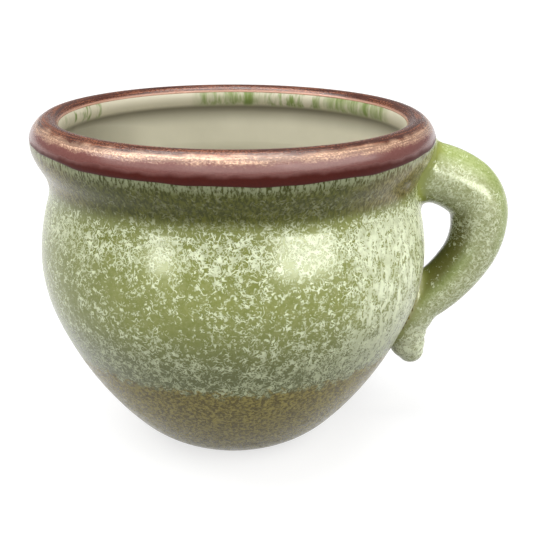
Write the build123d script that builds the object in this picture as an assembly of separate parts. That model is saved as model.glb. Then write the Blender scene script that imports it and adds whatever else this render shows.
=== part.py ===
from build123d import *
import os
from collections import namedtuple
from math import atan, cos, radians, sin

# Round-bellied clay pot for simmering herbs, with one coil handle, in millimetres.
# Origin: centre of the foot ring on the surface the pot stands on. +Z up, handle along +X.
#
# The wall's outline is one chain of tangent moves in the (radius, height) half-plane. It runs
# from the foot up the outside, over the lip and down the inside to the floor, always with the
# clay on its left. Its glaze coats are the band between the outline and the same outline inset.

Bend = namedtuple("Bend", "radius turn")  # turn in degrees, + to the left of travel
Run = namedtuple("Run", "length")

# Driving dimensions
FOOT_RADIUS = 28.2
FOOT_HEADING = 23.8
WALL = 4.8
FLOOR_TOP = 8.0
GLAZE = 0.5

RECESS_RADIUS = 21.5
RECESS_DEPTH = 1.8
RECESS_FLARE = 1.5

# Outside wall, foot to lip
GLAZE_LINE = Bend(43.8, 6.0)
FOOT_TURN = Bend(43.8, 17.0)
LOWER_WALL = Bend(131.6, 22.7)
BELLY = Bend(57.2, 27.1)
SHOULDER = Bend(86.0, 10.9)
NECK = Bend(14.3, -47.5)
LIP_FLARE = Run(5.7)
LIP_UNDER = Bend(9.7, 22.0)
LIP_OVER = Bend(9.7, 69.7)
LIP_CROWN = Bend(4.1, 87.7)
LIP_INNER_EDGE = Bend(6.0, 8.0)

# Inside of the rolled lip and its undercut
ROLL = Bend(6.0, 52.5)
NECK_LEAN = 4.0

# Handle: a rolled coil, thick at the rim, drawn thin to a free tail below its lower joint.
# Each move of the centreline is followed by the coil's radius at its end.
HANDLE_START = (64.5, 106.8)
HANDLE_HEADING = -14.9
HANDLE_ROOT_RADIUS = 11.7
HANDLE_PATH = [
    (Run(14.0), 11.6),
    (Bend(33.0, -21.0), 11.6),
    (Bend(15.8, -49.0), 11.1),
    (Bend(29.5, -37.5), 9.9),
    (Bend(55.8, -22.5), 9.3),
    (Bend(15.7, 29.5), 9.6),
    (Bend(17.2, 25.0), 8.6),
    (Bend(17.2, 20.0), 7.2),
    (Bend(30.0, 11.0), 5.1),
]
HANDLE_SECTIONS = 30

# Slip fillets that lute the coil to the wall: a hollow of this radius in the glazed surface
UPPER_FILLET = 3.1
LOWER_FILLET = 2.5
BELLY_LEVEL = 80.0


def left_of(heading):
    """Unit vector to the left of a heading given in degrees."""
    return Vector(-sin(radians(heading)), cos(radians(heading)))


def ahead(heading):
    """Unit vector along a heading given in degrees."""
    return Vector(cos(radians(heading)), sin(radians(heading)))


def step(point, heading, move):
    """Point and heading at the end of one move."""
    if isinstance(move, Run):
        return point + ahead(heading) * move.length, heading
    side = 1 if move.turn > 0 else -1
    centre = point + left_of(heading) * side * move.radius
    heading = heading + move.turn
    return centre - left_of(heading) * side * move.radius, heading


def walk(point, heading, moves):
    """Point and heading after a list of moves."""
    for move in moves:
        point, heading = step(point, heading, move)
    return point, heading


def trace(point, heading, moves, inset):
    """Edges of a list of moves, inset to the left of travel."""
    edges = []
    for move in moves:
        start = point + left_of(heading) * inset
        if isinstance(move, Run):
            edges.append(Line(start, start + ahead(heading) * move.length))
        else:
            radius = move.radius - inset if move.turn > 0 else move.radius + inset
            edges.append(JernArc(start, ahead(heading), radius, move.turn))
        point, heading = step(point, heading, move)
    return edges


def closing_moves(start, heading, end, end_heading):
    """A run and then a bend that lead smoothly from one point and heading to another."""
    along = ahead(heading)
    gap = end - start
    chord = (left_of(end_heading) - left_of(heading)) * -1
    det = along.X * chord.Y - along.Y * chord.X
    length = (gap.X * chord.Y - gap.Y * chord.X) / det
    radius = (along.X * gap.Y - along.Y * gap.X) / det
    return Run(length), Bend(abs(radius), end_heading - heading)


def inside_of(bend):
    """The same bend on the wall's inner face, walked the other way."""
    radius = bend.radius - WALL if bend.turn > 0 else bend.radius + WALL
    return Bend(radius, -bend.turn)


FOOT = (Vector(FOOT_RADIUS, 0), FOOT_HEADING)
BARE_FOOT = [GLAZE_LINE]
GREEN_COAT = [FOOT_TURN, LOWER_WALL, BELLY, SHOULDER, NECK, LIP_FLARE, LIP_UNDER]
RIM_COAT = [LIP_OVER, LIP_CROWN, LIP_INNER_EDGE]


def liner_moves():
    """Moves from the lip's inner edge down the inside to the middle of the floor."""
    roll_end, roll_heading = walk(*FOOT, BARE_FOOT + GREEN_COAT + RIM_COAT + [ROLL])
    shoulder_top, shoulder_heading = walk(*FOOT, BARE_FOOT + GREEN_COAT[:4])
    inner_top = shoulder_top + left_of(shoulder_heading) * WALL
    neck_inside = Bend(NECK.radius + WALL, shoulder_heading - 90 + NECK_LEAN)
    neck_top, _ = step(inner_top, shoulder_heading, Bend(neck_inside.radius, -neck_inside.turn))
    run, cove = closing_moves(neck_top, 90 - NECK_LEAN, roll_end, roll_heading - 180)
    moves = [ROLL, Bend(cove.radius, -cove.turn), run, neck_inside]
    moves += [inside_of(bend) for bend in (SHOULDER, BELLY, LOWER_WALL)]
    corner, heading = walk(roll_end, roll_heading, moves[1:])
    slope = heading - 180
    corner_radius = (corner.Y - FLOOR_TOP) / (1 - cos(radians(slope)))
    floor_radius = corner.X - corner_radius * sin(radians(slope))
    return moves + [Bend(corner_radius, -slope), Run(floor_radius)]


LINER_COAT = liner_moves()


def turned(lines):
    """Solid of revolution of a closed outline about the pot's axis, its seam opposite the handle."""
    outline = Wire([edge for line in lines for edge in line.edges()])
    return Rot(0, 0, 180) * revolve(Plane.XZ * Face(outline), Axis.Z)


def coat(before, moves):
    """Glaze coat that covers the given moves, which follow the moves before."""
    start = walk(*FOOT, before)
    outer = trace(*start, moves, 0)
    inner = trace(*start, moves, GLAZE)
    ends = [Line(outer[0] @ 0, inner[0] @ 0), Line(outer[-1] @ 1, inner[-1] @ 1)]
    return turned(outer + inner + ends)


def foot_underside(floor_height):
    """Outline of the turned recess under the pot, from the axis to the foot's outer edge."""
    return Polyline(
        (0, floor_height),
        (0, RECESS_DEPTH),
        (RECESS_RADIUS, RECESS_DEPTH),
        (RECESS_RADIUS + RECESS_FLARE, 0),
        (FOOT_RADIUS, 0),
    )


def make_clay_body():
    """The thrown clay: foot, belly, neck and rolled lip in one wall."""
    foot = trace(*FOOT, BARE_FOOT, 0)
    start = walk(*FOOT, BARE_FOOT)
    wall = trace(*start, GREEN_COAT + RIM_COAT + LINER_COAT, GLAZE)
    shelf = Line(foot[-1] @ 1, wall[0] @ 0)
    return turned(foot + [shelf] + wall + [foot_underside((wall[-1] @ 1).Y)])


def make_envelope(inset):
    """The pot's outside as a filled solid, to trim what is luted on it."""
    start = walk(*FOOT, BARE_FOOT)
    edges = trace(*start, GREEN_COAT + RIM_COAT, inset)
    top, bottom = edges[-1] @ 1, edges[0] @ 0
    core = Polyline(top, (0, top.Y), (0, bottom.Y), bottom)
    return turned(edges + [core])


def move_length(move):
    """Length of one move."""
    return move.length if isinstance(move, Run) else move.radius * radians(abs(move.turn))


def part_of(move, share):
    """The first share of a move."""
    return Run(move.length * share) if isinstance(move, Run) else Bend(move.radius, move.turn * share)


def handle_station(distance):
    """Point, heading and coil radius at a distance along the handle's centreline."""
    point, heading, radius = Vector(*HANDLE_START), HANDLE_HEADING, HANDLE_ROOT_RADIUS
    for move, end_radius in HANDLE_PATH:
        share = min(1, distance / move_length(move))
        point, heading = step(point, heading, part_of(move, share)) if share > 0 else (point, heading)
        radius = radius + (end_radius - radius) * share
        distance = distance - move_length(move)
        if distance <= 0:
            break
    return point, heading, radius


def handle_stations():
    """Evenly spaced stations along the handle's centreline."""
    length = sum(move_length(move) for move, _ in HANDLE_PATH)
    return [handle_station(length * n / HANDLE_SECTIONS) for n in range(HANDLE_SECTIONS + 1)]


def square_to(point, heading):
    """Plane square to the handle's centreline at a point of it."""
    along = Vector(cos(radians(heading)), 0, sin(radians(heading)))
    return Plane(origin=(point.X, 0, point.Y), x_dir=(0, 1, 0), z_dir=along)


def tail_end(shrink):
    """Round end of the tail, tangent to its taper."""
    (_, start_radius), (last_move, end_radius) = HANDLE_PATH[-2:]
    taper = atan((start_radius - end_radius) / move_length(last_move))
    radius = (end_radius - shrink) / cos(taper)
    tip, heading, _ = handle_stations()[-1]
    end = square_to(tip, heading)
    ball = end * Pos(0, 0, -radius * sin(taper)) * Sphere(radius)
    return split(ball, bisect_by=end, keep=Keep.TOP)


def make_coil(shrink):
    """The whole handle coil, thinner all over by shrink, with its rounded tail."""
    sections = [square_to(p, h) * Circle(r - shrink) for p, h, r in handle_stations()]
    return loft(sections) + tail_end(shrink)


def shared_edges(joined, first, second):
    """Edges of a joined solid that lie on the skins of both solids it was joined from."""
    edges = []
    for edge in joined.edges():
        middle = edge.position_at(0.5)
        if all(min(f.distance_to(middle) for f in s.faces()) < 1e-3 for s in (first, second)):
            edges.append(edge)
    return edges


def make_joined(pot, coil):
    """The filled pot and its coil in one, with a hollow fillet at each joint."""
    joined = pot + coil
    edges = shared_edges(joined, pot, coil)
    upper = [edge for edge in edges if edge.position_at(0.5).Z > BELLY_LEVEL]
    joined = joined.fillet(UPPER_FILLET, upper)
    lower = [e for e in shared_edges(joined, pot, coil) if e.position_at(0.5).Z < BELLY_LEVEL]
    return joined.fillet(LOWER_FILLET, lower)


def make_lutings(pot, coil):
    """The slip fillets of the lower and the upper joint."""
    fillets = make_joined(pot, coil) - (pot + coil)
    return fillets.solids().sort_by(Axis.Z)


parts = {}
envelope, coil = make_envelope(0), make_coil(0)
clay_envelope, clay_coil = make_envelope(GLAZE), make_coil(GLAZE)

parts["clay_body"] = make_clay_body()
parts["handle"] = clay_coil - clay_envelope
parts["lower_luting"], parts["upper_luting"] = make_lutings(envelope, coil)
parts["green_glaze"] = coat(BARE_FOOT, GREEN_COAT) + (coil - clay_envelope) - clay_coil
parts["rim_glaze"] = coat(BARE_FOOT + GREEN_COAT, RIM_COAT) - coil
parts["liner_glaze"] = coat(BARE_FOOT + GREEN_COAT + RIM_COAT, LINER_COAT)

os.makedirs("parts", exist_ok=True)
for name, solid in parts.items():
    solid.label = name
    export_step(solid, f"parts/{name}.step")
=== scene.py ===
from collections import namedtuple
from math import radians

import bpy
import numpy as np
from mathutils import Matrix, Vector


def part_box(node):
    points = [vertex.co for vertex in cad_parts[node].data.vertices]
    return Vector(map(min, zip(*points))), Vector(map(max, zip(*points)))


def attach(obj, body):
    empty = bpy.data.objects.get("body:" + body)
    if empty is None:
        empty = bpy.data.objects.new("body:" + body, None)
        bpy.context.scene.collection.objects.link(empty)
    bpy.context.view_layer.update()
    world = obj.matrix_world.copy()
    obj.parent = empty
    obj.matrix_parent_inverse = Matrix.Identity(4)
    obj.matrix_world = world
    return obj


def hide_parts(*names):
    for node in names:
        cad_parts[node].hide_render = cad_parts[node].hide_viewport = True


# Dresses the packed clay pot: one green glaze skin over the pot and its coil handle, a raised
# red-brown glaze on the rolled lip and a cream glaze inside. Lengths on the pot are in
# millimetres until a mesh is written, and z is the height above the foot. Angles about the
# pot's axis are in degrees from the handle, less than 0 on the camera's side. A pair of numbers
# is a range over which something eases in or out.

MM = 0.001
BODY = "root"
FAR = 1e9
SEED = 7

# The pot's outline from the foot to the lip, as the solids have it: tangent moves in the
# (radius, height) half-plane with the clay on the left of travel
Bend = namedtuple("Bend", "radius turn")
Run = namedtuple("Run", "length")

FOOT = np.array([28.2, 0.0])
FOOT_HEADING = 23.8
BARE_FOOT = [Bend(43.8, 6.0)]
WALL_COAT = [Bend(43.8, 17.0), Bend(131.6, 22.7), Bend(57.2, 27.1), Bend(86.0, 10.9), Bend(14.3, -47.5)]
LIP_UNDERSIDE = [Run(5.7), Bend(9.7, 22.0)]
LIP_COAT = [Bend(9.7, 69.7), Bend(4.1, 87.7), Bend(6.0, 8.0)]
GLAZE = 0.5

# The wall's distance field runs straight on below the foot, and past this share of the lip's bend
FIELD_REACH = 25.0
LIP_SHARE = 0.8

# The handle's centreline from inside the neck to the tail, each move with the coil's radius at its end
HANDLE_START = (64.5, 106.8)
HANDLE_HEADING = -14.9
HANDLE_ROOT_RADIUS = 11.7
HANDLE_PATH = [
    (Run(14.0), 11.6),
    (Bend(33.0, -21.0), 11.6),
    (Bend(15.8, -49.0), 11.1),
    (Bend(29.5, -37.5), 9.9),
    (Bend(55.8, -22.5), 9.3),
    (Bend(15.7, 29.5), 9.6),
    (Bend(17.2, 25.0), 8.6),
    (Bend(17.2, 20.0), 7.2),
    (Bend(30.0, 11.0), 5.1),
]

# The skin needs the coil's distance only past this x and this near the plane of symmetry
HANDLE_SIDE = 45.0
HANDLE_REACH = 30.0

# Glaze skin of the wall and handle: its net, its soft joints, its upper edge inside the rim glaze
# and its rounded lower edge
NET_STEP = 1.1
UPPER_BLEND = 6.0
LOWER_BLEND = 4.0
BLEND_LEVELS = (62.0, 84.0)
SKIN_TOP = 121.8
RIM_OVERLAP = 0.3
RIM_OVERLAP_LEVELS = (111.0, 115.0)
GLAZE_LINE = 2.07
FOOT_ROUND = 0.35
FOOT_ROUND_HEIGHT = 1.2

# Places on the wall, in heights and angles: the veil of crystals, the olive neck with painted shade
# under the lip and its beige sides, the shoulder, the low glaze and its border, the painted shade
# and the blush
VEIL_ANGLE = -32.0
VEIL_REACH = (14.0, 50.0)
VEIL_RISE = (30.0, 52.0)
VEIL_FALL = (97.0, 103.0)
NECK_LEVELS = (99.5, 105.5)
NECK_FRONT = -95.0
NECK_BEIGE_REACH = (30.0, 58.0)
SHOULDER_LEVEL = 93.0
SHOULDER_SPREAD = 6.0
LOW_LEVELS = (50.0, 66.0)
BORDER_LEVEL = 42.0
BORDER_RISE_LEFT = 30.0
LEFT_ANGLES = (150.0, 172.0)
BORDER_RISE_AT_HANDLE = 10.0
HANDLE_ANGLES = (8.0, 26.0)
SHADE_LEVELS = (46.0, 76.0)
LEFT_SHADE = 0.4
LEFT_SHADE_ANGLES = (96.0, 140.0)
BLUSH_ANGLE = -13.0
BLUSH_SPREAD = 9.0
BLUSH_RISE = (36.0, 46.0)
BLUSH_FALL = (66.0, 80.0)

# Places on the handle: distance off the wall, distances along the coil, shares of its radius to
# the outside of its bend, where 1 is outermost, and the pools at its joints, past this x
OFF_WALL = (0.5, 4.0)
UPPER_ARM_END = (28.0, 42.0)
LOWER_ARM_START = (44.0, 60.0)
TAIL_START = (86.0, 96.0)
UPPER_CRUST = (0.35, 0.8)
LOWER_CRUST = (-0.45, 0.1)
# The hollow, the coil's side towards the pot: painted shade with pooled glaze
HOLLOW_SHADE_AND_POOL = (-0.75, -0.25)
POOL_SIDE = 50.0
POOL_SPREAD = 2.6

# What the handle's colours lose or gain: the mint and the crust on the tail, the painted shade
# and pooled glaze of the hollow on the arm
MINT_LOSS = 0.6
CRUST_GAIN = 0.3
HOLLOW_SHADE_AND_POOL_LOSS = 0.5

# How dense the crystals are on the wall and the handle, and what each place adds
WALL_DENSITY = 0.48
SHOULDER_DENSITY = 0.28
LOW_DENSITY = 0.16
VEIL_DENSITY = 0.22
HANDLE_DENSITY = 0.30
CRUST_DENSITY = 0.34
TAIL_DENSITY = 0.45

# Values of the two levels on the handle, far from the low border and from the rim
LEVEL_ON_HANDLE = 50.0
BELOW_RIM_ON_HANDLE = 20.0

# Rim glaze: its mesh, and its lower edge as a level with a tilt and a sag about the front, and
# waves as (number around the pot, size)
RIM_TURNS = 720
RIM_ROWS = 60
RIM_ROW_GROWTH = 1.6
RIM_SAMPLES = 1200
RIM_BEAD = 0.9
RIM_EDGE_LEVEL = 118.9
RIM_FRONT = -85.0
RIM_TILT = 1.2
RIM_SAG = 0.9
RIM_WAVES = [(5, 0.10), (9, 0.16), (14, 0.14), (23, 0.09), (37, 0.05)]
RAGGED_ANGLE = -30.0
RAGGED_SPREAD = 12.0
RAGGED_WAVES = [(90, 0.35), (143, 0.3), (211, 0.2)]

# Rim glaze's colours: the circle that its pattern is unrolled from, the painted highlight along the
# lip's inner edge, levels of the lustre with its partly painted reflection, the gloss, the crown and
# the painted highlight line, and the width of the lip's outside
LIP_RADIUS = 72.0
INNER_HIGHLIGHT = (1.3, 0.52)
LUSTRE_AND_REFLECTION_LEVELS = (119.2, 121.2)
GLOSS_LEVELS = (119.5, 121.5)
CROWN_LEVELS = (124.0, 126.2)
PAINTED_HIGHLIGHT_RISE = (122.8, 124.6)
PAINTED_HIGHLIGHT_FALL = (125.0, 126.2)
OUTSIDE_WIDTH = (11.5, 13.5)

# Curls of crystal on the green glaze, as (size, width of the line in the noise, strength, offset)
CURLS = [(3.0, 0.060, 1.0, 3.0), (2.3, 0.062, 1.0, 11.0), (1.6, 0.065, 0.8, 31.0)]

# Liner: levels of the shade, of the painted shade under the lip and of the lip's inner face, the
# painted shade on the left side in x, and green runs as (angle, half width, strength)
LINER_SHADE_LEVELS = (60.0, 112.0)
LIP_SHADE_LEVELS = (109.0, 120.0)
LIP_FACE_LEVELS = (117.5, 119.5)
LINER_LEFT_SHADE = (-66.0, -30.0)
GREEN_RUNS = [(92.0, 16.0, 1.3), (66.0, 16.0, 0.7), (36.0, 22.0, 1.5), (164.0, 24.0, 0.4)]

# Colours of the glazes and the clay, as sRGB from 0 to 255
COLOURS = {
    "green": (116, 124, 52),
    "green_light": (148, 154, 80),
    "green_pale": (186, 190, 138),
    "green_deep": (86, 92, 34),
    "green_shade": (66, 70, 22),
    # The neck's olive colours are darkened with painted shade, for the shade under the lip
    "neck": (58, 60, 4),
    "neck_light": (90, 92, 26),
    "neck_beige": (86, 72, 16),
    "neck_beige_light": (154, 140, 90),
    "mint": (130, 144, 82),
    "mint_light": (160, 172, 118),
    "crust": (138, 144, 92),
    "crust_light": (178, 180, 144),
    "hollow": (78, 74, 26),
    "pool": (138, 146, 70),
    "blush": (178, 166, 140),
    "wisp": (148, 154, 122),
    "low": (80, 68, 10),
    "low_light": (144, 132, 66),
    "crystal": (236, 243, 212),
    "crystal_shade": (182, 188, 152),
    "crystal_blush": (202, 194, 178),
    "crystal_neck": (126, 124, 84),
    "rim": (50, 6, 2),
    "rim_light": (78, 20, 10),
    # Lustre colours: lighter and mauve, partly a painted reflection
    "lustre_and_reflection": (92, 48, 44),
    "lustre_and_reflection_light": (124, 78, 72),
    "crown": (58, 22, 12),
    "crown_light": (134, 78, 50),
    "painted_highlight": (218, 180, 150),
    "inner_highlight": (190, 146, 124),
    "cream": (186, 182, 160),
    "cream_light": (206, 202, 180),
    "cream_shade": (120, 114, 92),
    "cream_painted_shade": (66, 58, 34),
    "cream_lip": (204, 198, 176),
    "run": (150, 166, 108),
    "run_deep": (96, 116, 40),
    "clay": (150, 128, 102),
    "clay_light": (190, 168, 138),
}

# Camera, from the fit of the pot's outline: its place in metres, its angles in radians and its
# lens in millimetres on a 36 mm sensor
CAMERA_PLACE = (0.0, -0.34998, 0.18750)
CAMERA_PITCH = 0.3361
CAMERA_YAW = 0.0371
CAMERA_ROLL = 0.0061
CAMERA_LENS = 63.25

# Floor, in millimetres, and its glow to the camera, weaker near the pot, over distances in metres
FLOOR_REACH = 6000.0
FLOOR_WALL = 600.0
FLOOR_GREY = 0.35
GLOW = (0.72, 1.0)
GLOW_DISTANCES = (0.3, 1.5)

# Lamps, in metres: panels as (name, azimuth, share of their level), windows as (name, azimuth,
# elevation, size)
MIDDLE = Vector((0, 0, 0.10))
WORLD_LIGHT = 0.28
OVERHEAD_LIGHT = 7.5
OVERHEAD_PLACE = (-0.45, -0.05, 1.1)
OVERHEAD_TARGET = (-0.45, -0.05, 0)
OVERHEAD_SIZE = (1.8, 0.5)
PANEL_LIGHT = 2.05
PANEL_ELEVATION = 40
PANEL_DISTANCE = 1.5
PANEL_SIZE = (1.35, 0.85)
PANELS = [("panel_left", -142, 0.68), ("panel_front", -85, 0.94), ("panel_right", -28, 1.38)]
WINDOW_LIGHT = 20.0
WINDOW_DISTANCE = 1.3
WINDOWS = [("window_left", -131, 6, (0.32, 0.26)), ("window_right", -50, 7, (0.80, 0.36))]


# ---------------------------------------------------------------- outline

def unit(heading):
    """Unit vector along a heading in degrees, and the one to its left."""
    a = np.radians(heading)
    return np.array([np.cos(a), np.sin(a)]), np.array([-np.sin(a), np.cos(a)])


def length_of(move):
    """Length of one move."""
    return move.length if isinstance(move, Run) else move.radius * np.radians(abs(move.turn))


def along(point, heading, move, distance):
    """Point and heading a distance along one move."""
    ahead, left = unit(heading)
    if isinstance(move, Run):
        return point + ahead * distance, heading
    side = np.sign(move.turn)
    centre = point + left * side * move.radius
    heading = heading + side * np.degrees(distance / move.radius)
    return centre - unit(heading)[1] * side * move.radius, heading


def walk(point, heading, moves):
    """(start point, start heading, move) of each move, and the end point and heading."""
    legs = []
    for move in moves:
        legs.append((point, heading, move))
        point, heading = along(point, heading, move, length_of(move))
    return legs, point, heading


def walk_handle():
    """The same for the handle's centreline."""
    return walk(np.array(HANDLE_START), HANDLE_HEADING, [move for move, _ in HANDLE_PATH])


def sample_outline(moves, distances):
    """Points and left normals at distances along a chain that starts at the foot."""
    legs, _, _ = walk(FOOT, FOOT_HEADING, moves)
    starts = np.cumsum([0.0] + [length_of(move) for _, _, move in legs])
    points, normals = [], []
    for distance in distances:
        i = int(np.clip(np.searchsorted(starts, distance, side="right") - 1, 0, len(legs) - 1))
        point, heading = along(*legs[i], distance - starts[i])
        points.append(point)
        normals.append(unit(heading)[1])
    return np.array(points), np.array(normals)


# ---------------------------------------------------------------- distance fields

def nearest_on(leg, x, z):
    """Distance along a leg to the place nearest each point, the distance to it and its side."""
    point, heading, move = leg
    ahead, left = unit(heading)
    if isinstance(move, Run):
        dx, dz = x - point[0], z - point[1]
        s = np.clip(dx * ahead[0] + dz * ahead[1], 0, move.length)
        ox, oz = dx - ahead[0] * s, dz - ahead[1] * s
        side = ox * left[0] + oz * left[1]
        return s, np.hypot(ox, oz), side
    turn = np.sign(move.turn)
    centre = point + left * turn * move.radius
    dx, dz = x - centre[0], z - centre[1]
    start = -left * turn
    swept = np.arctan2(start[0] * dz - start[1] * dx, start[0] * dx + start[1] * dz) * turn
    full = np.radians(abs(move.turn))
    swept = np.where(swept < full / 2 - np.pi, swept + 2 * np.pi, swept)
    inside = np.clip(swept, 0, full)
    at = heading + turn * np.degrees(inside)
    nx, nz = np.sin(np.radians(at)) * turn, -np.cos(np.radians(at)) * turn
    ox, oz = dx - nx * move.radius, dz - nz * move.radius
    side = -(ox * nx + oz * nz) * turn
    return inside * move.radius, np.hypot(ox, oz), side


def wall_distance(r, z):
    """Signed distance to the pot's outside, less than 0 in the clay or the hollow."""
    foot_direction, _ = unit(FOOT_HEADING)
    start = FOOT - foot_direction * FIELD_REACH
    over_lip = Bend(LIP_COAT[0].radius, LIP_COAT[0].turn * LIP_SHARE)
    chain = [Run(FIELD_REACH)] + BARE_FOOT + WALL_COAT + LIP_UNDERSIDE + [over_lip, Run(FIELD_REACH)]
    legs, _, _ = walk(start, FOOT_HEADING, chain)
    best, sign = np.full(r.shape, FAR), np.ones(r.shape)
    for leg in legs:
        _, distance, side = nearest_on(leg, r, z)
        closer = distance < best
        best = np.where(closer, distance, best)
        sign = np.where(closer, np.where(side > 0, -1.0, 1.0), sign)
    return best * sign


def tail_end():
    """Centre and radius of the tail's round end, tangent to its taper."""
    _, tip, heading = walk_handle()
    (_, start_radius), (last_move, end_radius) = HANDLE_PATH[-2:]
    taper = np.arctan((start_radius - end_radius) / length_of(last_move))
    radius = end_radius / np.cos(taper)
    return tip - unit(heading)[0] * radius * np.sin(taper), radius


def handle_distance(x, y, z):
    """Signed distance to the coil's skin, the distance along it and the share to its bend's outside."""
    legs, _, _ = walk_handle()
    best, place, outer = np.full(x.shape, FAR), np.zeros(x.shape), np.zeros(x.shape)
    before, radius = 0.0, HANDLE_ROOT_RADIUS
    tip, tip_radius = tail_end()
    for leg, (move, end_radius) in zip(legs, HANDLE_PATH):
        s, distance, side = nearest_on(leg, x, z)
        coil = radius + (end_radius - radius) * s / length_of(move)
        field = np.sqrt(distance ** 2 + y ** 2) - coil
        if move is HANDLE_PATH[-1][0]:
            round_end = np.sqrt((x - tip[0]) ** 2 + y ** 2 + (z - tip[1]) ** 2) - tip_radius
            field = np.where(s > length_of(move) - 1e-6, round_end, field)
        closer = field < best
        best = np.where(closer, field, best)
        place = np.where(closer, before + s, place)
        outer = np.where(closer, np.clip(side / coil, -1, 1), outer)
        before, radius = before + length_of(move), end_radius
    return best, place, outer


def smooth(value, low, high):
    """Smooth step from 0 at low to 1 at high."""
    t = np.clip((value - low) / (high - low), 0, 1)
    return t * t * (3 - 2 * t)


def fade(value, low, high):
    """Smooth step from 1 at low to 0 at high."""
    return 1 - smooth(value, low, high)


def hump(value, middle, spread):
    """Bell curve that is 1 at the middle."""
    return np.exp(-((value - middle) / spread) ** 2)


def rounded_start(share):
    """Falls from 1 at 0 to 0 at 1, along a quarter circle."""
    return 1 - np.sqrt(1 - (1 - np.clip(share, 0, 1)) ** 2)


def skin_field(points):
    """Signed distance to the glaze's outer face on the pot and handle, with soft joints."""
    x, y, z = points.T
    wall = wall_distance(np.hypot(x, y), z) + RIM_OVERLAP * smooth(z, *RIM_OVERLAP_LEVELS)
    field = wall + FOOT_ROUND * rounded_start((z - GLAZE_LINE) / FOOT_ROUND_HEIGHT)
    near = (x > HANDLE_SIDE) & (np.abs(y) < HANDLE_REACH)
    if near.any():
        wall = field[near]
        coil, _, _ = handle_distance(x[near], y[near], z[near])
        blend = LOWER_BLEND + (UPPER_BLEND - LOWER_BLEND) * smooth(z[near], *BLEND_LEVELS)
        gap = np.maximum(blend - np.abs(coil - wall), 0) / blend
        field[near] = np.minimum(coil, wall) - gap ** 2 * blend / 4
    return field


def gradient(field, points, step=0.02):
    """Unit gradient of a field at points, by central differences."""
    columns = []
    for axis in range(3):
        shift = np.zeros(3)
        shift[axis] = step
        columns.append(field(points + shift) - field(points - shift))
    g = np.stack(columns, 1)
    return g / np.linalg.norm(g, axis=1, keepdims=True)


def surface_net(field, low, high, step, batches=24):
    """Quads of the field's zero surface, one vertex for each cell that it crosses."""
    axes = [np.arange(a, b + step, step) for a, b in zip(low, high)]
    shape = [len(a) for a in axes]
    grid = np.stack(np.meshgrid(*axes, indexing="ij"), -1).reshape(-1, 3)
    values = np.concatenate([field(batch) for batch in np.array_split(grid, batches)]).reshape(shape)
    below = values < 0

    corners = [(i, j, k) for i in (0, 1) for j in (0, 1) for k in (0, 1)]
    cells = [n - 1 for n in shape]

    def block(array, corner):
        return array[tuple(slice(c, c + n) for c, n in zip(corner, cells))]

    count = sum(block(below, corner).astype(np.int8) for corner in corners)
    index = np.full(cells, -1)
    crossed = np.argwhere((count > 0) & (count < len(corners)))
    index[tuple(crossed.T)] = np.arange(len(crossed))
    vertices = np.array(low) + (crossed + 0.5) * step

    quads = []
    for axis in range(3):
        b, c = (axis + 1) % 3, (axis + 2) % 3
        lower = [slice(1, -1)] * 3
        upper = [slice(1, -1)] * 3
        lower[axis], upper[axis] = slice(0, -1), slice(1, None)
        first, second = below[tuple(lower)], below[tuple(upper)]
        for rising in (True, False):
            hit = np.argwhere((first & ~second) if rising else (~first & second))
            hit[:, [b, c]] += 1
            around = []
            for db, dc in ((-1, -1), (0, -1), (0, 0), (-1, 0)):
                cell = hit.copy()
                cell[:, b] += db
                cell[:, c] += dc
                around.append(index[tuple(cell.T)])
            quad = np.stack(around, 1)
            quads.append(quad if rising else quad[:, ::-1])
    return vertices, np.concatenate(quads)


def settle(field, vertices, quads, rounds=3, pulls=2):
    """Moves the net's vertices on to the zero surface, evened out along it."""
    for _ in range(rounds):
        total = np.zeros_like(vertices)
        count = np.zeros(len(vertices))
        for a in range(4):
            for b in ((a + 1) % 4, (a + 3) % 4):
                np.add.at(total, quads[:, a], vertices[quads[:, b]])
                np.add.at(count, quads[:, a], 1)
        vertices = total / np.maximum(count, 1)[:, None]
        for _ in range(pulls):
            vertices = vertices - gradient(field, vertices) * field(vertices)[:, None]
    return vertices


# ---------------------------------------------------------------- meshes

def make_mesh(name, vertices, faces, layers=None):
    """A smooth-shaded mesh object from millimetre vertices, with named values for each vertex."""
    mesh = bpy.data.meshes.new(name)
    mesh.from_pydata((np.asarray(vertices) * MM).tolist(), [], np.asarray(faces).tolist())
    mesh.validate()
    mesh.polygons.foreach_set("use_smooth", [True] * len(mesh.polygons))
    for key, values in (layers or {}).items():
        values = np.asarray(values, np.float32)
        kind, field = ("FLOAT", "value") if values.ndim == 1 else ("FLOAT_VECTOR", "vector")
        mesh.attributes.new(key, kind, "POINT").data.foreach_set(field, values.reshape(-1))
    mesh.update()
    obj = bpy.data.objects.new(name, mesh)
    bpy.context.scene.collection.objects.link(obj)
    return obj


def set_material(obj, material):
    """Makes one material the only one of a piece."""
    obj.data.materials.clear()
    obj.data.materials.append(material)


def dress(obj, material, slot, *nodes):
    """Gives a piece its material and body and hides the nodes that it stands for; its slot is not used.
    """
    set_material(obj, material)
    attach(obj, BODY)
    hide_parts(*nodes)


def close_skin(vertices, quads, inward):
    """Adds the inner face, moved by the inward vectors, and the walls at the open edges."""
    n = len(vertices)
    edges = np.concatenate([quads[:, [i, (i + 1) % 4]] for i in range(4)])
    key = edges[:, 0].astype(np.int64) * n + edges[:, 1]
    back = edges[:, 1].astype(np.int64) * n + edges[:, 0]
    border = edges[~np.isin(key, back)]
    walls = np.stack([border[:, 1], border[:, 0], border[:, 0] + n, border[:, 1] + n], 1)
    inner = vertices + inward
    return np.concatenate([vertices, inner]), np.concatenate([quads, quads[:, ::-1] + n, walls])


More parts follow.
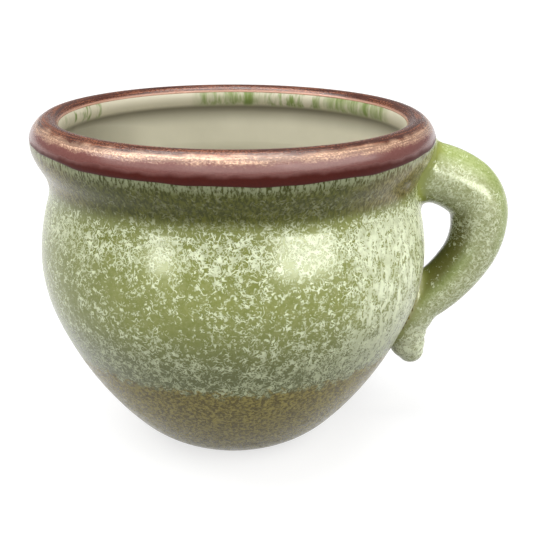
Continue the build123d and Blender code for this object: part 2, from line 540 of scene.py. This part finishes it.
def cut_level(field, vertices, quads, low, high, pulls=4):
    """Keeps the quads between two heights, with what lies past them moved on to the levels."""
    z = vertices[:, 2]
    quads = quads[(z[quads] > low).any(1) & (z[quads] < high).any(1)]
    used = np.unique(quads)
    renumber = np.full(len(vertices), -1)
    renumber[used] = np.arange(len(used))
    vertices = vertices[used]
    for past, level in ((vertices[:, 2] < low, low), (vertices[:, 2] > high, high)):
        border = vertices[past]
        border[:, 2] = level
        for _ in range(pulls):
            flat = gradient(field, border) * (1, 1, 0)
            border = border - flat * (field(border) / (flat ** 2).sum(1))[:, None]
        vertices[past] = border
    return vertices, renumber[quads]


def make_green_skin():
    """The green glaze over the pot's outside and the handle, in one skin."""
    cad_low, cad_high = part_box("green_glaze")
    margin = 2 * NET_STEP
    low = np.array(cad_low) / MM - margin
    high = np.array([cad_high.x / MM, cad_high.y / MM, SKIN_TOP]) + margin
    vertices, quads = surface_net(skin_field, low, high, NET_STEP)
    vertices = settle(skin_field, vertices, quads)
    vertices, quads = cut_level(skin_field, vertices, quads, GLAZE_LINE, SKIN_TOP)
    normals = gradient(skin_field, vertices)
    shut, faces = close_skin(vertices, quads, -normals * GLAZE)
    return make_mesh("green_glaze_skin", shut, faces, glaze_layers(shut))


def wall_layers(turn, z):
    """Values of the glaze on the wall, by angle and height."""
    around = np.abs(turn)
    # The neck: olive glaze, darkened by painted shade under the lip
    neck = smooth(z, *NECK_LEVELS)
    veil = fade(np.abs(turn - VEIL_ANGLE), *VEIL_REACH) * smooth(z, *VEIL_RISE) * fade(z, *VEIL_FALL)
    border = BORDER_LEVEL + BORDER_RISE_LEFT * smooth(around, *LEFT_ANGLES)
    border = border + BORDER_RISE_AT_HANDLE * fade(around, *HANDLE_ANGLES)
    density = WALL_DENSITY + SHOULDER_DENSITY * hump(z, SHOULDER_LEVEL, SHOULDER_SPREAD)
    density = density + LOW_DENSITY * fade(z, *LOW_LEVELS) + VEIL_DENSITY * veil
    return {
        "crystals": density,
        "coat": veil,
        "olive_and_shade": neck,
        "neck_beige": neck * smooth(np.abs(turn - NECK_FRONT), *NECK_BEIGE_REACH),
        "low_level": z - border,
        "shade": np.maximum(fade(z, *SHADE_LEVELS), LEFT_SHADE * smooth(-turn, *LEFT_SHADE_ANGLES)),
        "below_rim": rim_edge(np.radians(turn)) - z,
        "blush": hump(turn, BLUSH_ANGLE, BLUSH_SPREAD) * smooth(z, *BLUSH_RISE) * fade(z, *BLUSH_FALL),
    }


def handle_layers(place, outer):
    """Values of the glaze on the handle, by distance along the coil and share to its outside."""
    lower_arm = smooth(place, *LOWER_ARM_START)
    tail = smooth(place, *TAIL_START)
    crust = lower_arm * smooth(outer, *LOWER_CRUST) + (1 - lower_arm) * fade(outer, *UPPER_CRUST)
    crust = np.maximum(crust, tail)
    upper_arm = fade(place, *UPPER_ARM_END)
    return {
        "crystals": HANDLE_DENSITY + CRUST_DENSITY * crust + TAIL_DENSITY * tail,
        "coil": 1 - MINT_LOSS * tail,
        "crust": crust * (1 + CRUST_GAIN * tail),
        # Painted shade with pooled glaze in the hollow, on the coil's side towards the pot
        "hollow": fade(outer, *HOLLOW_SHADE_AND_POOL) * (1 - HOLLOW_SHADE_AND_POOL_LOSS * upper_arm) * (1 - tail),
    }


def glaze_layers(points):
    """How dense the crystals are and how the glaze's colour shifts, for points on the skin."""
    x, y, z = points.T
    coil, place, outer = handle_distance(x, y, z)
    wall = wall_distance(np.hypot(x, y), z)
    on_handle = smooth(wall - np.maximum(coil, 0), *OFF_WALL)
    on_wall = 1 - on_handle
    off_both = np.maximum(wall, 0) ** 2 + np.maximum(coil, 0) ** 2
    pool = np.exp(-off_both / (2 * POOL_SPREAD ** 2)) * (x > POOL_SIDE)
    clear = 1 - pool
    w = wall_layers(np.degrees(np.arctan2(y, x)), z)
    h = handle_layers(place, outer)
    return {
        "crystals": (w["crystals"] * on_wall + h["crystals"] * on_handle) * clear,
        "coat": w["coat"] * on_wall * clear,
        "olive_and_shade": w["olive_and_shade"] * on_wall * clear,
        "neck_beige": w["neck_beige"] * on_wall,
        "low_level": np.where(on_handle > 0.5, LEVEL_ON_HANDLE, w["low_level"]),
        "shade": w["shade"] * on_wall,
        "pool": pool,
        "below_rim": np.where(on_handle > 0.5, BELOW_RIM_ON_HANDLE, w["below_rim"]),
        "coil": h["coil"] * on_handle * clear,
        "crust": h["crust"] * on_handle * clear,
        "hollow": h["hollow"] * on_handle,
        "blush": w["blush"] * on_wall,
    }


def rim_edge(turns):
    """Height of the rim glaze's lower edge, ragged near one angle where turns run from -pi to pi."""
    rng = np.random.default_rng(SEED)
    front = turns - np.radians(RIM_FRONT)
    level = RIM_EDGE_LEVEL - RIM_TILT * np.cos(front) - RIM_SAG * np.cos(2 * front)
    for waves, size in RIM_WAVES:
        level = level + size * np.sin(waves * turns + rng.uniform(0, 2 * np.pi))
    ragged = hump(np.degrees(turns), RAGGED_ANGLE, RAGGED_SPREAD)
    for waves, size in RAGGED_WAVES:
        level = level + ragged * size * np.sin(waves * turns + rng.uniform(0, 2 * np.pi))
    return level


def ring_points(line, distances, depth, turns):
    """Points on the pot at distances along a sampled outline, at a depth into the wall."""
    at, points, normals = line
    r, z = (np.interp(distances, at, column) for column in points.T)
    nr, nz = (np.interp(distances, at, column) for column in normals.T)
    r, z = r + nr * depth, z + nz * depth
    return np.stack([r * np.cos(turns)[:, None], r * np.sin(turns)[:, None], z], -1)


def ring_faces(turns, rows):
    """Faces of a closed ring: the outer rows, the inner rows and the strips along both edges."""
    faces = []
    inner = turns * rows
    last = rows - 1
    for i in range(turns):
        a, b = i * rows, (i + 1) % turns * rows
        for k in range(last):
            faces.append((a + k, b + k, b + k + 1, a + k + 1))
            faces.append((inner + a + k + 1, inner + b + k + 1, inner + b + k, inner + a + k))
        faces.append((a, inner + a, inner + b, b))
        faces.append((a + last, b + last, inner + b + last, inner + a + last))
    return faces


def make_rim_skin():
    """The red-brown glaze on the rolled lip, with a wavy, rounded lower edge."""
    moves = BARE_FOOT + WALL_COAT + LIP_UNDERSIDE + LIP_COAT
    whole = sum(length_of(move) for move in moves)
    lip = sum(length_of(move) for move in LIP_UNDERSIDE + LIP_COAT)
    at = np.linspace(whole - lip, whole, RIM_SAMPLES)
    points, normals = sample_outline(moves, at)
    line = (at, points, normals)
    outside = np.arange(len(at)) < np.argmax(points[:, 1])
    turns = np.arange(RIM_TURNS) * 2 * np.pi / RIM_TURNS
    starts = np.interp(rim_edge(turns), points[outside, 1], at[outside])[:, None]

    rows = np.linspace(0, 1, RIM_ROWS) ** RIM_ROW_GROWTH
    distances = starts + (whole - starts) * rows
    sunk = RIM_OVERLAP * rounded_start((distances - starts) / RIM_BEAD)
    outer = ring_points(line, distances, sunk, turns)
    inner = ring_points(line, distances, GLAZE, turns)

    circle = np.stack([np.cos(turns), np.sin(turns)], -1)[:, None, :] * LIP_RADIUS
    circle = np.broadcast_to(circle, (RIM_TURNS, RIM_ROWS, 2))
    unrolled = np.concatenate([circle, distances[..., None]], -1)
    # Painted highlight along the lip's inner edge
    from_end, full_line = INNER_HIGHLIGHT
    inner_highlight = smooth(distances, whole - from_end, whole - full_line)
    layers = {
        "height": np.concatenate([outer[..., 2], inner[..., 2]]).reshape(-1),
        "inner_edge_highlight": np.concatenate([inner_highlight] * 2).reshape(-1),
        "from_edge": np.concatenate([distances - starts] * 2).reshape(-1),
        "unrolled": np.concatenate([unrolled] * 2).reshape(-1, 3) * MM,
    }
    vertices = np.concatenate([outer.reshape(-1, 3), inner.reshape(-1, 3)])
    return make_mesh("rim_glaze_coat", vertices, ring_faces(RIM_TURNS, RIM_ROWS), layers)


# ---------------------------------------------------------------- materials

def paint(name):
    """Linear colour of a named colour."""
    channels = []
    for value in COLOURS[name]:
        c = value / 255
        channels.append(c / 12.92 if c <= 0.04045 else ((c + 0.055) / 1.055) ** 2.4)
    return (*channels, 1.0)


class Shader:
    """A material's node tree, with short calls for its nodes."""

    # Places of a mix node's first and second input and of its output, by what it mixes
    MIX_SOCKETS = {"FLOAT": (2, 3, 0), "RGBA": (6, 7, 2)}
    # Share of a noise's offset along each axis
    OFFSET_SHARES = (1.0, 0.7, 1.3)

    def __init__(self, name):
        self.material = bpy.data.materials.new(name)
        self.material.use_nodes = True
        self.nodes = self.material.node_tree.nodes
        self.links = self.material.node_tree.links
        self.surface = self.nodes["Principled BSDF"]
        self.place = self.add("ShaderNodeTexCoord").outputs["Object"]

    def add(self, kind, **settings):
        """A new node with the given settings."""
        node = self.nodes.new(kind)
        for key, value in settings.items():
            setattr(node, key, value)
        return node

    def feed(self, socket, value):
        """Links a socket to another, or gives it a plain value."""
        if isinstance(value, bpy.types.NodeSocket):
            self.links.new(value, socket)
        else:
            socket.default_value = value

    def set(self, **sockets):
        """Feeds the surface's sockets, with _ for each space in their names."""
        for name, value in sockets.items():
            self.feed(self.surface.inputs[name.replace("_", " ")], value)

    def attribute(self, name, output="Fac"):
        """A value that the mesh has for each vertex."""
        return self.add("ShaderNodeAttribute", attribute_name=name).outputs[output]

    def math(self, operation, a, b=0.0):
        """Result of a math node."""
        node = self.add("ShaderNodeMath", operation=operation)
        for socket, value in zip(node.inputs, (a, b)):
            self.feed(socket, value)
        return node.outputs[0]

    def plus(self, a, b):
        """Sum of two values."""
        return self.math("ADD", a, b)

    def minus(self, a, b):
        """The first value less the second."""
        return self.math("SUBTRACT", a, b)

    def times(self, a, b):
        """Product of two values."""
        return self.math("MULTIPLY", a, b)

    def most(self, a, b):
        """The greater of two values."""
        return self.math("MAXIMUM", a, b)

    def between(self, a, b):
        """How far apart two values are."""
        return self.math("ABSOLUTE", self.minus(a, b))

    def waver(self, value, noise, middle, reach):
        """A value shifted either way by a noise about its middle."""
        return self.plus(value, self.times(self.minus(noise, middle), reach))

    def noise(self, size, detail=2.0, rough=0.5, distortion=0.0, offset=0.0, stretch=(1, 1, 1)):
        """Noise with features of about the given size in millimetres, from 0 to 1."""
        mapping = self.add("ShaderNodeMapping")
        self.feed(mapping.inputs["Vector"], self.place)
        scale = 1 / (size * MM)
        mapping.inputs["Scale"].default_value = [scale / axis for axis in stretch]
        mapping.inputs["Location"].default_value = [offset * share for share in self.OFFSET_SHARES]
        node = self.add("ShaderNodeTexNoise")
        self.feed(node.inputs["Vector"], mapping.outputs[0])
        node.inputs["Scale"].default_value = 1.0
        node.inputs["Detail"].default_value = detail
        node.inputs["Roughness"].default_value = rough
        node.inputs["Distortion"].default_value = distortion
        return node.outputs["Fac"]

    def ramp(self, value, low, high):
        """Smooth step of a value from 0 at low to 1 at high."""
        node = self.add("ShaderNodeMapRange", interpolation_type="SMOOTHSTEP")
        self.feed(node.inputs["Value"], value)
        self.feed(node.inputs["From Min"], low)
        self.feed(node.inputs["From Max"], high)
        return node.outputs["Result"]

    def fade(self, value, low, high):
        """Smooth step of a value from 1 at low to 0 at high."""
        return self.minus(1.0, self.ramp(value, low, high))

    def mix_of(self, kind, share, first, second):
        """The first of two at a share of 0 and the second at 1."""
        a, b, result = self.MIX_SOCKETS[kind]
        node = self.add("ShaderNodeMix", data_type=kind)
        self.feed(node.inputs["Factor"], share)
        self.feed(node.inputs[a], first)
        self.feed(node.inputs[b], second)
        return node.outputs[result]

    def mix(self, share, first, second):
        """Mix of two colours."""
        return self.mix_of("RGBA", share, first, second)

    def blend(self, share, first, second):
        """Mix of two numbers."""
        return self.mix_of("FLOAT", share, first, second)

    def shades(self, share, first, second):
        """Mix of two named colours."""
        return self.mix(share, paint(first), paint(second))

    def tint(self, body, colour, share, strength):
        """A colour moved towards another by a share of the given strength."""
        return self.mix(self.times(share, strength), body, colour)

    def bump(self, height, depth):
        """Gives the surface a fine relief of a depth in millimetres."""
        node = self.add("ShaderNodeBump")
        self.feed(node.inputs["Height"], height)
        node.inputs["Distance"].default_value = depth * MM
        node.inputs["Strength"].default_value = 1.0
        self.links.new(node.outputs[0], self.surface.inputs["Normal"])


def curls(s, size, width, density, offset):
    """Thin pale curls, more of them where density is high, from 0 to 1."""
    field = s.noise(size, detail=1.0, rough=0.4, distortion=1.1, offset=offset)
    line = s.fade(s.between(field, 0.5), width * 0.35, width)
    places = s.noise(size * 1.1, detail=2.0, rough=0.6, offset=offset + 40.0)
    gate = s.minus(0.72, s.times(density, 0.42))
    return s.times(line, s.ramp(places, gate, s.plus(gate, 0.10)))


def crystal_share(s):
    """Where the pale crystals lie: curls of three sizes, closing to a veil where the coat is 1."""
    drift = s.noise(14.0, detail=2.0, offset=5.0)
    density = s.waver(s.attribute("crystals"), drift, 0.5, 0.5)
    crystals = 0.0
    for size, width, strength, offset in CURLS:
        crystals = s.most(crystals, s.times(curls(s, size, width, density, offset), strength))
    coat = s.attribute("coat")
    holes = s.noise(1.9, detail=2.0, rough=0.55, distortion=0.5, offset=51.0, stretch=(1, 1, 2.4))
    veil = s.times(coat, s.ramp(holes, s.blend(coat, 0.80, 0.45), s.blend(coat, 0.92, 0.57)))
    crystals = s.most(crystals, s.times(veil, 0.95))
    crystals = s.times(crystals, s.blend(s.attribute("olive_and_shade"), 1.0, 0.45))
    crystals = s.times(crystals, s.blend(s.attribute("coil"), 1.0, 0.62))
    patches = s.ramp(s.noise(4.0, detail=2.0, offset=71.0), 0.35, 0.65)
    return s.times(crystals, s.blend(patches, 0.60, 1.0))


def crystal_colour(s):
    """Colour of the crystals, duller in the shade, the blush and the neck."""
    pale = s.shades(s.attribute("shade"), "crystal", "crystal_shade")
    pale = s.tint(pale, paint("crystal_blush"), s.attribute("blush"), 0.6)
    return s.tint(pale, paint("crystal_neck"), s.attribute("olive_and_shade"), 0.8)


def green_body(s, fine, streak):
    """Colour of the green glaze between the crystals."""
    body = s.shades(s.noise(7.0, detail=3.0, offset=2.0), "green", "green_light")
    mottle = s.ramp(s.noise(1.6, detail=3.0, rough=0.7, offset=61.0), 0.35, 0.70)
    body = s.tint(body, paint("green_pale"), mottle, 0.30)
    body = s.tint(body, paint("green_deep"), fine, 0.35)
    body = s.tint(body, paint("green_shade"), s.attribute("shade"), 0.85)
    # The neck: olive glaze, darkened by painted shade under the lip
    neck = s.shades(s.ramp(streak, 0.40, 0.62), "neck", "neck_light")
    beige = s.shades(s.ramp(streak, 0.42, 0.62), "neck_beige", "neck_beige_light")
    neck = s.tint(neck, beige, s.attribute("neck_beige"), 0.85)
    body = s.mix(s.attribute("olive_and_shade"), body, neck)
    mint = s.shades(s.ramp(fine, 0.3, 0.7), "mint", "mint_light")
    body = s.tint(body, mint, s.attribute("coil"), 0.8)
    crust = s.shades(s.ramp(fine, 0.3, 0.65), "crust", "crust_light")
    body = s.tint(body, crust, s.attribute("crust"), 0.75)
    # Painted shade with pooled glaze in the hollow of the coil
    body = s.tint(body, paint("hollow"), s.attribute("hollow"), 0.85)
    body = s.mix(s.attribute("pool"), body, paint("pool"))
    return s.tint(body, paint("blush"), s.attribute("blush"), 0.7)


def green_glaze_material():
    """Glossy yellow-green glaze with pale crystal curls, olive with painted shade in the neck, brown and
    beige low down.
    """
    s = Shader("green_glaze_look")
    fine = s.noise(0.9, detail=3.0, rough=0.65, offset=21.0)
    streak = s.noise(0.8, detail=3.0, rough=0.6, offset=27.0, stretch=(1, 1, 3.5))
    crystals = crystal_share(s)
    color = s.tint(green_body(s, fine, streak), crystal_colour(s), crystals, 0.92)

    fringe = s.fade(s.attribute("below_rim"), 0.5, 5.0)
    wisps = s.times(fringe, s.ramp(s.plus(streak, s.times(fringe, 0.12)), 0.50, 0.68))
    color = s.tint(color, paint("wisp"), wisps, 0.8)

    blots = s.noise(2.6, detail=2.0, distortion=0.8, offset=81.0)
    ragged = s.plus(fine, s.times(blots, 1.6))
    low = s.fade(s.waver(s.attribute("low_level"), ragged, 1.3, 9.0), -1.2, 1.2)
    flecks = s.noise(1.2, detail=3.0, rough=0.7, distortion=0.5, offset=91.0)
    color = s.mix(low, color, s.shades(s.ramp(flecks, 0.44, 0.58), "low", "low_light"))

    s.set(
        Base_Color=color,
        Roughness=s.blend(crystals, 0.20, 0.42),
        Specular_IOR_Level=s.blend(s.most(low, s.attribute("olive_and_shade")), 0.35, 0.16),
        Specular_Tint=(0.94, 1.0, 0.78, 1.0),
        Coat_Weight=0.10,
        Coat_Roughness=0.12,
    )
    s.bump(s.plus(crystals, s.times(fine, 0.5)), 0.03)
    return s.material


def rim_glaze_material():
    """Iron glaze: dark maroon low on the lip, a brown lustre over the lip that is partly a painted
    reflection, a painted highlight line.
    """
    s = Shader("rim_glaze_look")
    s.place = s.attribute("unrolled", "Vector")
    grain = s.noise(0.8, detail=3.0, rough=0.65, offset=4.0)
    fibre = s.noise(0.5, detail=3.0, rough=0.6, offset=9.0, stretch=(1.6, 1.6, 1))
    groove = s.noise(0.9, detail=2.0, offset=19.0, stretch=(22, 22, 1))
    gleam = s.ramp(s.plus(groove, fibre), 0.85, 1.35)
    level = s.waver(s.attribute("height"), s.noise(6.0, detail=2.0, offset=14.0), 0.5, 2.4)
    # Lustre over the upper lip: more gloss, and a lighter mauve colour that is partly a painted
    # reflection
    lustre_and_reflection = s.ramp(level, *LUSTRE_AND_REFLECTION_LEVELS)
    crown = s.ramp(s.plus(level, s.times(fibre, 2.0)), *CROWN_LEVELS)

    body = s.shades(grain, "rim", "rim_light")
    body = s.mix(lustre_and_reflection, body, s.shades(grain, "lustre_and_reflection", "lustre_and_reflection_light"))
    body = s.mix(crown, body, s.shades(gleam, "crown", "crown_light"))
    # Painted highlight: a pale cream line along the outside of the lip, broken up by the gleam
    wavy = s.waver(level, fibre, 0.5, 2.4)
    painted_highlight = s.times(s.ramp(wavy, *PAINTED_HIGHLIGHT_RISE), s.fade(wavy, *PAINTED_HIGHLIGHT_FALL))
    painted_highlight = s.times(painted_highlight, s.fade(s.attribute("from_edge"), *OUTSIDE_WIDTH))
    painted_highlight = s.times(painted_highlight, s.blend(gleam, 0.25, 0.90))
    body = s.mix(painted_highlight, body, paint("painted_highlight"))
    # Painted highlight along the lip's inner edge
    body = s.mix(s.attribute("inner_edge_highlight"), body, paint("inner_highlight"))

    crown_roughness = s.blend(s.times(crown, gleam), 0.20, 0.34)
    s.set(
        Base_Color=body,
        Metallic=s.times(crown, s.times(gleam, 0.30)),
        Roughness=s.blend(s.ramp(level, *GLOSS_LEVELS), 0.46, crown_roughness),
        Specular_IOR_Level=s.blend(lustre_and_reflection, 0.20, 0.70),
        Specular_Tint=(1.0, 0.90, 0.84, 1.0),
        Coat_Weight=s.blend(lustre_and_reflection, 0.0, 0.15),
        Coat_Roughness=0.22,
    )
    relief = s.plus(fibre, s.times(groove, 0.5))
    s.bump(s.times(relief, s.plus(0.25, crown)), 0.12)
    return s.material


def liner_material():
    """Satin cream glaze with painted shade under the lip and on the left side, and green runs inside the
    lip.
    """
    s = Shader("liner_look")
    axes = s.add("ShaderNodeSeparateXYZ")
    s.feed(axes.inputs[0], s.place)
    x, y, z = (s.times(axes.outputs[i], 1 / MM) for i in range(3))
    turn = s.math("ARCTAN2", y, x)
    streak = s.noise(3.0, detail=3.0, rough=0.6, offset=16.0, stretch=(1, 1, 5))

    body = s.shades(s.noise(18.0, detail=3.0, offset=1.0), "cream", "cream_light")
    body = s.tint(body, paint("cream_shade"), s.fade(z, *LINER_SHADE_LEVELS), 0.35)
    # Painted shade: darker under the lip's roll and towards the left side
    pool = s.times(s.ramp(z, *LIP_SHADE_LEVELS), 0.85)
    pool = s.most(pool, s.times(s.fade(x, *LINER_LEFT_SHADE), 0.6))
    body = s.mix(pool, body, paint("cream_painted_shade"))
    lip = s.ramp(z, *LIP_FACE_LEVELS)
    body = s.mix(lip, body, paint("cream_lip"))
    for centre, reach, strength in GREEN_RUNS:
        run = s.fade(s.between(turn, radians(centre)), radians(reach * 0.5), radians(reach))
        run = s.times(s.times(run, lip), s.ramp(streak, 0.62 - 0.3 * strength, 0.66))
        body = s.mix(run, body, s.shades(streak, "run", "run_deep"))
    s.set(Base_Color=body, Roughness=0.32)
    s.bump(s.noise(2.5, detail=2.0, offset=6.0), 0.02)
    return s.material


def clay_material():
    """Bare fired clay, finely grained."""
    s = Shader("bare_clay_look")
    body = s.shades(s.noise(1.1, detail=4.0, rough=0.7), "clay", "clay_light")
    s.set(Base_Color=body, Roughness=0.85)
    s.bump(s.noise(0.5, detail=4.0, rough=0.7, offset=3.0), 0.05)
    return s.material


def floor_material():
    """White to the camera and in reflections, and grey under the lamps to keep the pot's shadow."""
    s = Shader("floor_look")
    path = s.add("ShaderNodeLightPath")
    seen = s.most(path.outputs["Is Camera Ray"], path.outputs["Is Glossy Ray"])
    seen = s.most(seen, path.outputs["Is Transmission Ray"])
    distance = s.add("ShaderNodeVectorMath", operation="LENGTH")
    s.feed(distance.inputs[0], s.place)
    glow = s.blend(s.ramp(distance.outputs["Value"], *GLOW_DISTANCES), *GLOW)
    s.set(
        Base_Color=(FLOOR_GREY, FLOOR_GREY, FLOOR_GREY, 1),
        Roughness=1.0,
        Specular_IOR_Level=0.0,
        Emission_Color=(1, 1, 1, 1),
        Emission_Strength=s.times(seen, glow),
    )
    return s.material


# ---------------------------------------------------------------- stage

def make_floor():
    """A wide floor under the foot, with a low wall far off that hides the horizon."""
    reach = FLOOR_REACH
    corners = [(-reach, -reach, 0), (reach, -reach, 0), (reach, reach, 0), (-reach, reach, 0)]
    corners += [(x, y, FLOOR_WALL) for x, y, _ in corners]
    walls = [(n, (n + 1) % 4, (n + 1) % 4 + 4, n + 4) for n in range(4)]
    floor = make_mesh("floor", corners, [(0, 1, 2, 3)] + walls)
    set_material(floor, floor_material())


def towards(azimuth, elevation, distance):
    """A place at a distance from the pot's middle, azimuth and elevation in degrees."""
    a, e = np.radians(azimuth), np.radians(elevation)
    ray = Vector((np.cos(a) * np.cos(e), np.sin(a) * np.cos(e), np.sin(e)))
    return MIDDLE + ray * distance


def make_lamp(name, place, target, size, level):
    """A soft oblong lamp of the given brightness that looks at a target."""
    data = bpy.data.lights.new(name, "AREA")
    data.shape = "RECTANGLE"
    data.size, data.size_y = size
    data.energy = level * np.pi * size[0] * size[1]
    lamp = bpy.data.objects.new(name, data)
    lamp.location = place
    lamp.rotation_euler = (Vector(target) - Vector(place)).to_track_quat("-Z", "Y").to_euler()
    bpy.context.scene.collection.objects.link(lamp)
    return lamp


def make_light(green):
    """Soft studio light: a lamp overhead, three panels, and two low windows that gleam in the green."""
    world = bpy.data.worlds.new("studio")
    bpy.context.scene.world = world
    world.use_nodes = True
    background = world.node_tree.nodes["Background"]
    background.inputs["Color"].default_value = (1, 1, 1, 1)
    background.inputs["Strength"].default_value = WORLD_LIGHT
    make_lamp("overhead", OVERHEAD_PLACE, OVERHEAD_TARGET, OVERHEAD_SIZE, OVERHEAD_LIGHT)
    for name, azimuth, share in PANELS:
        place = towards(azimuth, PANEL_ELEVATION, PANEL_DISTANCE)
        make_lamp(name, place, MIDDLE, PANEL_SIZE, PANEL_LIGHT * share)
    lit = bpy.data.collections.new("window_lit")
    lit.objects.link(green)
    for name, azimuth, elevation, size in WINDOWS:
        place = towards(azimuth, elevation, WINDOW_DISTANCE)
        window = make_lamp(name, place, MIDDLE, size, WINDOW_LIGHT)
        window.visible_diffuse = False
        window.light_linking.receiver_collection = lit


def make_camera():
    """The camera at the fitted place."""
    pitch, yaw, roll = CAMERA_PITCH, CAMERA_YAW, CAMERA_ROLL
    ahead = Vector((np.sin(yaw) * np.cos(pitch), np.cos(yaw) * np.cos(pitch), -np.sin(pitch)))
    level = Vector((np.cos(yaw), -np.sin(yaw), 0))
    over = level.cross(ahead)
    right = level * np.cos(roll) + over * np.sin(roll)
    up = over * np.cos(roll) - level * np.sin(roll)
    data = bpy.data.cameras.new("camera")
    data.sensor_fit = "HORIZONTAL"
    data.sensor_width = 36.0
    data.lens = CAMERA_LENS
    data.clip_start = 0.01
    camera = bpy.data.objects.new("camera", data)
    turn = Matrix((right, up, -ahead)).transposed().to_4x4()
    camera.matrix_world = Matrix.Translation(CAMERA_PLACE) @ turn
    bpy.context.scene.collection.objects.link(camera)
    bpy.context.scene.camera = camera


# ---------------------------------------------------------------- scene

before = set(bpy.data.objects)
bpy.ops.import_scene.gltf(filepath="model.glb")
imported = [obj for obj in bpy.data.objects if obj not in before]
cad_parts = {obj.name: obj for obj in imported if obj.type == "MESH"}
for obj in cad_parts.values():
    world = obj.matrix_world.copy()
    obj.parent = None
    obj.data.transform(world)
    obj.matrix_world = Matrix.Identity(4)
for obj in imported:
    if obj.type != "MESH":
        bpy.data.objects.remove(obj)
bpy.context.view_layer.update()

clay = clay_material()
set_material(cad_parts["clay_body"], clay)
set_material(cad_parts["handle"], clay)
set_material(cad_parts["liner_glaze"], liner_material())
green = make_green_skin()
dress(green, green_glaze_material(), "green_glaze", "green_glaze", "upper_luting", "lower_luting")
rim = make_rim_skin()
dress(rim, rim_glaze_material(), "rim_glaze", "rim_glaze")

make_floor()
make_light(green)
make_camera()
bpy.context.scene.view_settings.view_transform = "Standard"
